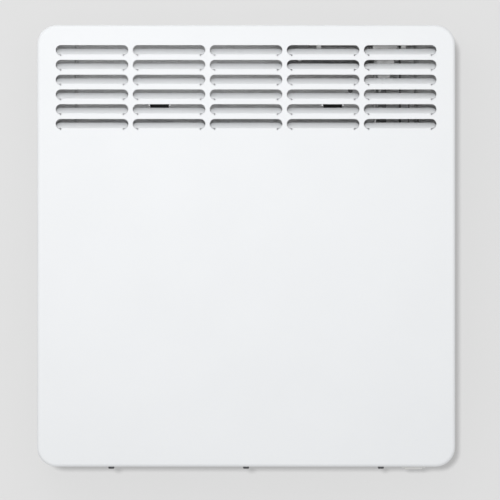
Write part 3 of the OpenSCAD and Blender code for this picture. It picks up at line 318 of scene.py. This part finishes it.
# %% Fire the bushes
ceramic = Finish("unglazed_ceramic", roughness=0.62)
ceramic.feed("Base Color", ceramic.ramp(ceramic.noise(size_mm=0.5, detail=2.0), [
    (0.0, (0.55, 0.50, 0.42)), (0.34, (0.78, 0.75, 0.67)), (1.0, (0.82, 0.79, 0.72))]))
ceramic.feed("Normal", ceramic.bump(
    ceramic.noise(size_mm=0.3, detail=3.0), depth_mm=0.02, strength=0.5))
dress(ceramic, "ceramic_bushes")

# %% [markdown]
# ## Mouldings
# Plastic parts take the grain of their mould: a fine pattern of rounded pits. As dents in
# the mesh they would take millions of faces, so a bump from a smooth Voronoi texture stands
# for them. The same small recipe serves the white housing, the grey buttons, the dark inner
# parts, and the rubber pads and grommets, with its own colour and gloss for each.

# %% Mould the plastic parts
def opaque(colour, share=1.0):
    """A colour at full cover, or a darker share of it."""
    return (*(share * part for part in colour), 1)


def moulded(name, colour, gloss, pit_mm=0.35):
    """A plastic or a rubber with the grain of its mould."""
    finish = Finish(name, specular_ior_level=0.45)
    finish.feed("Base Color", finish.blend(
        finish.noise(size_mm=14, detail=2.0), opaque(colour, share=0.93), opaque(colour)))
    finish.feed("Roughness", gloss + 0.12 * finish.noise(size_mm=2, detail=2.0))
    finish.feed("Normal", finish.bump(
        finish.cells(pit_mm, "SMOOTH_F1", "Distance"), depth_mm=0.02, strength=0.3,
        normal=finish.soft_edges(radius_mm=0.2)))
    return finish


white_moulding = moulded("white_moulding", colour=(0.80, 0.80, 0.785), gloss=0.38)
grey_moulding = moulded("grey_moulding", colour=(0.52, 0.53, 0.54), gloss=0.36)
dark_moulding = moulded("dark_moulding", colour=(0.030, 0.030, 0.032), gloss=0.42)
rubber = moulded("soft_rubber", colour=(0.028, 0.028, 0.029), gloss=0.72, pit_mm=0.6)
dress(white_moulding, "control_housing", "control_bezel", "terminal_block", "cord_gland",
      "gland_nut", "room_sensor", "switch_frame", "switch_rocker")
dress(grey_moulding, "button_minus", "button_plus", "button_mode", "button_timer")
dress(dark_moulding, "thermal_cutout", "tact_switches", "board_parts")
dress(rubber, "buffer_pads", "wire_grommets")

# %% [markdown]
# ## Metal fittings
# Small fittings are plated with zinc, black or bright, or are plain brass. With one colour
# and one gloss they would look like chrome. Handling wears real ones, so one noise dims the
# colour a little in places and makes the same places smoother.

# %% Plate the fittings
def plated(name, colour, gloss):
    """Bare or plated metal that handling has worn a little."""
    finish = Finish(name, metallic=1.0)
    wear = finish.noise(size_mm=1.2, detail=4.0)
    finish.feed("Base Color", finish.blend(wear, opaque(colour, share=0.8), opaque(colour)))
    finish.feed("Roughness", gloss + 0.2 * wear)
    finish.feed("Normal", finish.bump(
        finish.noise(size_mm=0.3, detail=2.0), depth_mm=0.01, strength=0.3,
        normal=finish.soft_edges(radius_mm=0.15)))
    return finish


black_zinc = plated("black_zinc", colour=(0.135, 0.135, 0.142), gloss=0.32)
bright_zinc = plated("bright_zinc", colour=(0.62, 0.63, 0.66), gloss=0.24)
plain_brass = plated("plain_brass", colour=(0.70, 0.52, 0.24), gloss=0.28)
dress(black_zinc, "cover_screws")
dress(bright_zinc, "panel_screws", "board_screws", "earth_stud")
dress(plain_brass, "terminal_screws", "switch_blades")

# %% [markdown]
# ## Wires, display and board
# The wires wear a woven glass sleeve, because they run beside a hot element. Its threads are
# too thin to be modelled one by one, and slanting waves give the weave. The display sleeps,
# so its window is an even smoked dark under a thin gloss coat. The board has green lacquer
# over its tracks, which stand a little proud. A brick pattern gives them, with the mortar as
# the tracks.

# %% Weave the wire sleeves
sleeve = Finish("woven_sleeve", roughness=0.8)
weave = sleeve.node("ShaderNodeTexWave", {"wave_type": "BANDS", "bands_direction": "DIAGONAL"}, {
    "Vector": sleeve.place(), "Scale": 900, "Distortion": 1.5, "Detail": 1.0})
sleeve.feed("Base Color", sleeve.blend(weave, grey(0.13), (0.26, 0.26, 0.25, 1)))
sleeve.feed("Normal", sleeve.bump(weave, depth_mm=0.08, strength=0.6))
dress(sleeve, "wiring")

# %% Smoke the display window
smoked = Finish("smoked_window", roughness=0.07, coat_weight=0.4, coat_roughness=0.04)
smoked.feed("Base Color", smoked.blend(
    smoked.noise(size_mm=30, detail=2.0), (0.010, 0.012, 0.014, 1), (0.020, 0.023, 0.026, 1)))
smoked.feed("Normal", smoked.bump(
    smoked.noise(size_mm=6, detail=1.0), depth_mm=0.01, strength=0.1,
    normal=smoked.soft_edges(radius_mm=0.2)))
dress(smoked, "display_lens", "lcd_display")

# %% Lacquer the board
lacquer = Finish("board_lacquer", roughness=0.3, coat_weight=0.3)
tracks = lacquer.node("ShaderNodeTexBrick", {"offset": 0.5}, {
    "Vector": lacquer.place(), "Scale": 260, "Mortar Size": 0.12,
    "Color1": grey(0), "Color2": grey(0), "Mortar": grey(1)}, "Fac")
lacquer.feed("Base Color", lacquer.blend(
    tracks, (0.010, 0.075, 0.030, 1), (0.020, 0.13, 0.055, 1)))
lacquer.feed("Normal", lacquer.bump(tracks, depth_mm=0.03, strength=0.5))
dress(lacquer, "circuit_board")

# %% [markdown]
# ## Screws with a driver recess
# The frame has every screw as a plain head on a shank. A real one shows the cross that the
# driver fits, and that small dark mark is what makes a screw read as a screw. The head is
# turned from half of its section, like on a lathe, and a tapered cross is cut out of it.
# The places aren't typed in: they are measured on the frame's own screws, one by one. The
# faces of the frame's meshes aren't joined to each other, so a copy is welded first.

# %% Measure the separate solids of a piece
WELD = 0.001 * MM
SORTING_DIGITS = 5


def solids_of(name):
    """The lowest and highest corners of each separate solid in a piece."""
    shape = bmesh.new()
    shape.from_mesh(cad_pieces[name].data)
    bmesh.ops.remove_doubles(shape, verts=shape.verts, dist=WELD)
    waiting = set(shape.verts)
    found = []
    while waiting:
        start = waiting.pop()
        island, to_visit = [start], [start]
        while to_visit:
            for edge in to_visit.pop().link_edges:
                for corner in edge.verts:
                    if corner in waiting:
                        waiting.remove(corner)
                        island.append(corner)
                        to_visit.append(corner)
        axes = list(zip(*(corner.co for corner in island)))
        found.append((Vector([min(axis) for axis in axes]), Vector([max(axis) for axis in axes])))
    shape.free()
    return sorted(found, key=lambda box: tuple(round(part, SORTING_DIGITS) for part in box[0]))


print("screws under the cover:", len(solids_of("cover_screws")))

# %% [markdown]
# ## Turning, cutting and copying
# Blender's Screw modifier could turn the section too. A few lines do the same and show what
# turning is: one ring of corners for each point of the section, and faces between each ring
# and the next. A point on the axis stays a single corner, so the solid closes there. A
# Boolean modifier cuts the cross, and its result is read back as a plain mesh. The copies are
# then joined to one piece, because the frame has one piece for each set of screws.

# %% Turn a section into a solid
SIDES = 40
ON_AXIS = 1e-7


def mesh_from(shape, name):
    """A mesh made of a bmesh, with its faces turned outwards."""
    bmesh.ops.recalc_face_normals(shape, faces=shape.faces)
    mesh = bpy.data.meshes.new(name)
    shape.to_mesh(mesh)
    shape.free()
    return mesh


def turned(profile):
    """A closed turned solid from points (radius, height), listed from top to bottom."""
    shape = bmesh.new()
    turns = [math.tau * step / SIDES for step in range(SIDES)]
    rings = []
    for radius, height in profile:
        if radius < ON_AXIS:
            rings.append([shape.verts.new((0, 0, height))])
        else:
            rings.append([shape.verts.new((radius * math.cos(turn), radius * math.sin(turn), height))
                          for turn in turns])
    for upper, lower in zip(rings, rings[1:]):
        for step in range(SIDES):
            after = (step + 1) % SIDES
            if len(upper) == 1:
                shape.faces.new((upper[0], lower[step], lower[after]))
            elif len(lower) == 1:
                shape.faces.new((upper[after], upper[step], lower[0]))
            else:
                shape.faces.new((upper[step], lower[step], lower[after], upper[after]))
    return mesh_from(shape, "turned")


def arc(centre_r, centre_h, radius, start, end, steps):
    """Points on a rounded edge of a turned piece, by angle in degrees."""
    turns = [math.radians(start + (end - start) * step / steps) for step in range(steps + 1)]
    return [(centre_r + radius * math.cos(turn), centre_h + radius * math.sin(turn))
            for turn in turns]


# %% Cut the cross for the driver
MOUTH = 1.12
TIP = 0.62
BOX_FACES = ((3, 2, 1, 0), (4, 5, 6, 7), (0, 1, 5, 4), (1, 2, 6, 5), (2, 3, 7, 6), (3, 0, 4, 7))


def cross_cutter(top, depth, arm, half_width):
    """Two tapered wedges crossed at right angles, wide at the mouth and narrow at the tip."""
    shape = bmesh.new()
    for along in (Vector((1, 0, 0)), Vector((0, 1, 0))):
        across = Vector((along.y, along.x, 0))
        corners = []
        for height, taper in ((top + depth, MOUTH), (top - depth, TIP)):
            for a, b in ((-1, -1), (1, -1), (1, 1), (-1, 1)):
                point = along * a * arm * taper + across * b * half_width * taper
                corners.append(shape.verts.new(point + Vector((0, 0, height))))
        for face in BOX_FACES:
            shape.faces.new([corners[corner] for corner in face])
    return mesh_from(shape, "cutter")


def cut(mesh, cutter):
    """The first mesh without the second."""
    body = bpy.data.objects.new("body", mesh)
    tool = bpy.data.objects.new("tool", cutter)
    for thing in (body, tool):
        bpy.context.scene.collection.objects.link(thing)
    step = body.modifiers.new("cut", "BOOLEAN")
    step.object = tool
    step.operation = "DIFFERENCE"
    step.solver = "EXACT"
    step.use_self = True
    bpy.context.view_layer.update()
    finished = body.evaluated_get(bpy.context.evaluated_depsgraph_get())
    result = bpy.data.meshes.new_from_object(finished)
    bpy.data.objects.remove(body)
    bpy.data.objects.remove(tool)
    return result


# %% Copy a mesh to its places
DOWN = math.pi
TO_THE_WALL = -math.pi / 2
TO_THE_ROOM = math.pi / 2
CREASE = math.radians(32)


def placed(point, facing, spin=0.0):
    """A place at a point, facing one way and spun about the piece's own axis."""
    return (Matrix.Translation(point) @ Matrix.Rotation(facing, 4, "X")
            @ Matrix.Rotation(spin, 4, "Z"))


def set_of(name, mesh, places, finish, body):
    """One piece made of equal copies of a mesh, smooth on its turned faces."""
    shape = bmesh.new()
    for place in places:
        copy = mesh.copy()
        copy.transform(place)
        shape.from_mesh(copy)
        bpy.data.meshes.remove(copy)
    for face in shape.faces:
        face.smooth = True
    for edge in shape.edges:
        if len(edge.link_faces) == 2 and edge.calc_face_angle() > CREASE:
            edge.smooth = False
    whole = bpy.data.meshes.new(name)
    shape.to_mesh(whole)
    shape.free()
    whole.materials.append(finish.material)
    piece = bpy.data.objects.new(name, whole)
    bpy.context.scene.collection.objects.link(piece)
    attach(piece, body)
    return piece


# %% [markdown]
# ## The cover's screws
# Three dark pan heads show under the bottom edge. They are a little flatter in the
# photograph than on the frame's plain screws, so their tops lie lower by FLATTER. A cylinder
# with a bevel would look much the same from afar, but a section gives the flat top and the
# round edge their real sizes. Each screw stops at its own angle, as hand-driven ones do.

# %% Fit the three cover screws
FLATTER = 0.6 * MM
PAN_H = 3.0 * MM
PAN_EDGE_R = 1.0 * MM
SHANK_R = 1.75 * MM
boxes = solids_of("cover_screws")
low, high = boxes[0]
head_r = (high.x - low.x) / 2
length = high.z - low.z
pan = turned([(0, -FLATTER)]
             + arc(head_r - PAN_EDGE_R, -PAN_EDGE_R - FLATTER, PAN_EDGE_R, start=90, end=0, steps=6)
             + [(head_r, -PAN_H), (SHANK_R, -PAN_H), (SHANK_R, -length), (0, -length)])
pan = cut(pan, cross_cutter(-FLATTER, depth=1.5 * MM, arm=1.9 * MM, half_width=0.48 * MM))
places = [placed(((low.x + high.x) / 2, (low.y + high.y) / 2, low.z), DOWN,
                 spin=0.4 + 1.1 * count)
          for count, (low, high) in enumerate(boxes)]
cover_heads = set_of("cover_screw_heads", pan, places, black_zinc, body="heater")
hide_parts("cover_screws")
print("cover screws:", len(places), "head radius in mm:", round(head_r / MM, 2))

# %% [markdown]
# ## The back panel's screws
# These have low domed heads. A squashed ball would curve too sharply at the rim. The dome is
# part of a larger ball instead, whose radius follows from the head's radius and height, so
# the curve meets the rim exactly.

# %% Fit the back panel's screws
DOME_H = 1.2 * MM
DOME_STEPS = 6
boxes = solids_of("panel_screws")
low, high = boxes[0]
head_r = (high.x - low.x) / 2
length = high.y - low.y
ball_r = (head_r ** 2 + DOME_H ** 2) / (2 * DOME_H)
span = math.degrees(math.asin(head_r / ball_r))
dome = turned([(0, 0)]
              + arc(0, -ball_r, ball_r, start=90 - span / (DOME_STEPS + 1), end=90 - span,
                    steps=DOME_STEPS)
              + [(SHANK_R, -DOME_H), (SHANK_R, -length), (0, -length)])
dome = cut(dome, cross_cutter(0, depth=0.9 * MM, arm=1.8 * MM, half_width=0.45 * MM))
places = [placed(((low.x + high.x) / 2, high.y, (low.z + high.z) / 2), TO_THE_WALL,
                 spin=0.3 + 0.9 * count)
          for count, (low, high) in enumerate(boxes)]
back_heads = set_of("back_screw_heads", dome, places, bright_zinc, body="heater")
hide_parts("panel_screws")
print("back screws:", len(places), "head radius in mm:", round(head_r / MM, 2))

# %% [markdown]
# ## Blind rivets
# The inner plates are riveted to the back panel. A blind rivet is set from outside: its
# flange is domed, and in the middle stays the broken end of the pin that pulled it tight,
# sunk a little. The pin could be a piece of its own, but both are turned in one go from a
# longer section, so that nothing has to fit.

# %% Set the rivets
# The section of the sunk pin, the groove round it and the lip, in millimetres
PIN_AND_LIP_MM = [(0, -0.45), (0.75, -0.5), (0.85, -0.7), (0.95, -0.7), (1.05, -0.1), (1.25, 0)]
FLANGE_H = 0.9 * MM
FLANGE_EDGE_R = 0.75 * MM
EDGE_INSET = 1.2 * MM
RIVET_R = 1.6 * MM
END_TAPER = 0.6 * MM
boxes = solids_of("rivets")
low, high = boxes[0]
flange_r = (high.x - low.x) / 2
length = high.y - low.y
blind = turned([(radius * MM, height * MM) for radius, height in PIN_AND_LIP_MM]
               + arc(flange_r - EDGE_INSET, -FLANGE_EDGE_R, FLANGE_EDGE_R, start=80, end=0,
                     steps=5)[1:]
               + [(flange_r, -FLANGE_H), (RIVET_R, -FLANGE_H), (RIVET_R, FLANGE_H - length),
                  (flange_r, FLANGE_H - length), (flange_r - END_TAPER, -length), (0, -length)])
places = [placed(((low.x + high.x) / 2, high.y, (low.z + high.z) / 2), TO_THE_WALL)
          for low, high in boxes]
blind_rivets = set_of("blind_rivets", blind, places, rolled, body="heater")
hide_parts("rivets")
print("blind rivets:", len(places), "flange radius in mm:", round(flange_r / MM, 2))

# %% [markdown]
# ## Bright pins beside the hook windows
# Through the fifth row of louvres the photograph shows the dark bracket inside each hook
# window, with a bright glint at both of its ends. A lamp there would light the plates round
# it too. So small polished pins are set on the back panel. Facing the room and mirror-smooth,
# they throw the studio's light straight back.

# %% Set the window pins
PIN_R = 0.95 * MM
PIN_H = 0.6 * MM
PIN_FLAT_SHARE = 0.82
PIN_CROWN = 0.03 * MM
PIN_CHAMFER = 0.25 * MM
HOOK_X = 89 * MM
BESIDE_HOOK = 10.6 * MM
PANEL_FACE_Y = -22 * MM
PIN_Z = 145.2 * MM
polished = Finish("polished_pin", metallic=1.0)
polished.feed("Base Color", polished.blend(
    polished.noise(size_mm=0.7, detail=2.0), grey(0.88), grey(0.96)))
polished.feed("Roughness", 0.05 + 0.05 * polished.noise(size_mm=0.5, detail=2.0))
pin = turned([(0, 0), (PIN_FLAT_SHARE * PIN_R, -PIN_CROWN), (PIN_R, -PIN_CHAMFER),
              (PIN_R, -PIN_H), (0, -PIN_H)])
places = [placed((side * HOOK_X + end * BESIDE_HOOK, PANEL_FACE_Y - PIN_H, PIN_Z), TO_THE_ROOM)
          for side in (-1, 1) for end in (-1, 1)]
pins = set_of("window_pins", pin, places, polished, body="heater")
print("pins:", len(places), "each", round(2 * PIN_R / MM, 1), "mm wide")

# %% [markdown]
# ## Wall and floor
# The heater hangs on a pale wall. In a catalogue picture the wall is lit by itself, so that
# it stays even up to the edges of the object. Lamps would do that unevenly, so a faint glow
# in its paint stands for that light. Behind the heater the glow fades, as no light reaches
# the middle of that gap. So the wall is made of parts, and the one behind the heater fades.
# The outer ones reach in behind the casing by TUCK, and no seam shows from the front. WALL_Y
# keeps all of them a hair behind the bracket. The wall shows from the front only and the
# floor from above, so that neither blocks a view from the other side, and they throw no
# light or shadow on the heater.

# %% Paint and hang one sheet
SHEET_TONE = 0.12
FADE_RATE = 3.0


def stage_sheet(name, corners, glow, fade=None):
    """A glowing flat sheet that shows from one side only, and may fade to its middle."""
    mesh = bpy.data.meshes.new(name)
    mesh.from_pydata(corners, [], [(0, 1, 2, 3)])
    sheet = bpy.data.objects.new(name, mesh)
    bpy.context.scene.collection.objects.link(sheet)
    finish = Finish(name + "_paint", roughness=0.9, specular_ior_level=0.0,
                    emission_color=grey(1.0), emission_strength=glow)
    tree = finish.tree
    finish.feed("Base Color", finish.blend(
        finish.noise(size_mm=40, detail=2.0), grey(0.98 * SHEET_TONE), grey(SHEET_TONE)))
    if fade:
        half_width, half_height = fade
        across, up = [finish.node("ShaderNodeSeparateXYZ", {}, {"Vector": finish.place()}, axis)
                      for axis in ("X", "Z")]
        inside = ((1.0 - across * across * half_width ** -2)
                  * (1.0 - up * up * half_height ** -2))
        finish.feed("Emission Color", finish.blend(FADE_RATE * inside, grey(1.0), grey(0.0)))
    clear = tree.nodes.new("ShaderNodeBsdfTransparent")
    behind = finish.node("ShaderNodeNewGeometry", {}, {}, "Backfacing")
    choice = tree.nodes.new("ShaderNodeMixShader")
    factor, from_the_front, from_behind = choice.inputs
    tree.links.new(behind.socket, factor)
    tree.links.new(finish.shader.outputs["BSDF"], from_the_front)
    tree.links.new(clear.outputs["BSDF"], from_behind)
    tree.links.new(choice.outputs["Shader"], tree.nodes["Material Output"].inputs["Surface"])
    mesh.materials.append(finish.material)
    sheet.visible_diffuse = False
    sheet.visible_glossy = False
    sheet.visible_shadow = False
    return sheet


# %% Hang the wall and lay the floor
REACH = 1.6
FLOOR_Z = -1.1
FLOOR_REACH = 5.0
WALL_Y = 0.6 * MM
TUCK = 2 * MM
WALL_GLOW = 0.372
FLOOR_GLOW = 0.60
hidden_x = face_high.x - TUCK
hidden_z = face_high.z - TUCK


def upright(left, right, low, high):
    """The corners of a part of the wall."""
    return [(left, WALL_Y, low), (right, WALL_Y, low), (right, WALL_Y, high), (left, WALL_Y, high)]


def level(reach, z):
    """The corners of a square floor."""
    return [(-reach, -reach, z), (reach, -reach, z), (reach, reach, z), (-reach, reach, z)]


lit_sheets = [stage_sheet(name, upright(*edges), WALL_GLOW) for name, edges in (
    ("wall_left", (-REACH, -hidden_x, FLOOR_Z, REACH)),
    ("wall_right", (hidden_x, REACH, FLOOR_Z, REACH)),
    ("wall_above", (-hidden_x, hidden_x, hidden_z, REACH)),
    ("wall_below", (-hidden_x, hidden_x, FLOOR_Z, -hidden_z)))]
lit_sheets.append(stage_sheet("wall_behind", upright(-hidden_x, hidden_x, -hidden_z, hidden_z),
                              WALL_GLOW, fade=(hidden_x, hidden_z)))
lit_sheets.append(stage_sheet("floor", level(FLOOR_REACH, FLOOR_Z), FLOOR_GLOW))
print("pieces of wall and floor:", len(lit_sheets))

# %% [markdown]
# ## Light
# Even light from all round fills the louvres, as the big soft boxes of a studio do. Alone it
# would leave the face flat. One box above and one in front add the slow fade down the face,
# and one behind serves the views from there. The thin shadow beside the casing is the work
# of a lamp almost behind the camera, a little above and to the left, which is flagged so
# that it reaches the wall and the floor alone. Blender calls that light linking.

# %% Light the scene
WORLD_STRENGTH = 0.70


def lamp(name, kind, place, aim, **settings):
    """A lamp at a place that shines along its aim."""
    data = bpy.data.lights.new(name, kind)
    for setting, value in settings.items():
        setattr(data, setting, value)
    light = bpy.data.objects.new(name, data)
    bpy.context.scene.collection.objects.link(light)
    light.location = place
    light.rotation_euler = Vector(aim).to_track_quat("-Z", "Y").to_euler()
    return light


flagged = bpy.data.collections.new("lit_by_the_shadow_lamp")
for sheet in lit_sheets:
    flagged.objects.link(sheet)
shadow_lamp = lamp("shadow_lamp", "SUN", place=(0, 0, 0), aim=(0.068, 1.0, -0.064),
                   energy=7.0, angle=math.radians(3.4))
shadow_lamp.light_linking.receiver_collection = flagged
soft_boxes = [
    lamp("top_box", "AREA", place=(-0.38, -0.9, 0.85), aim=(0.35, 0.8, -0.75), energy=2.3, size=0.8),
    lamp("front_box", "AREA", place=(-0.11, -1.2, 0.26), aim=(0.08, 1.0, -0.10), energy=4.3, size=0.9),
    lamp("back_box", "AREA", place=(-0.4, 1.8, 0.7), aim=(0.2, -1.0, -0.35), energy=10, size=1.2)]
world = bpy.data.worlds.new("studio")
world.use_nodes = True
background = world.node_tree.nodes["Background"]
background.inputs["Color"].default_value = grey(1.0)
background.inputs["Strength"].default_value = WORLD_STRENGTH
bpy.context.scene.world = world
bpy.context.scene.view_settings.view_transform = "Standard"
print("lamps:", shadow_lamp.name, "and", ", ".join(box.name for box in soft_boxes))
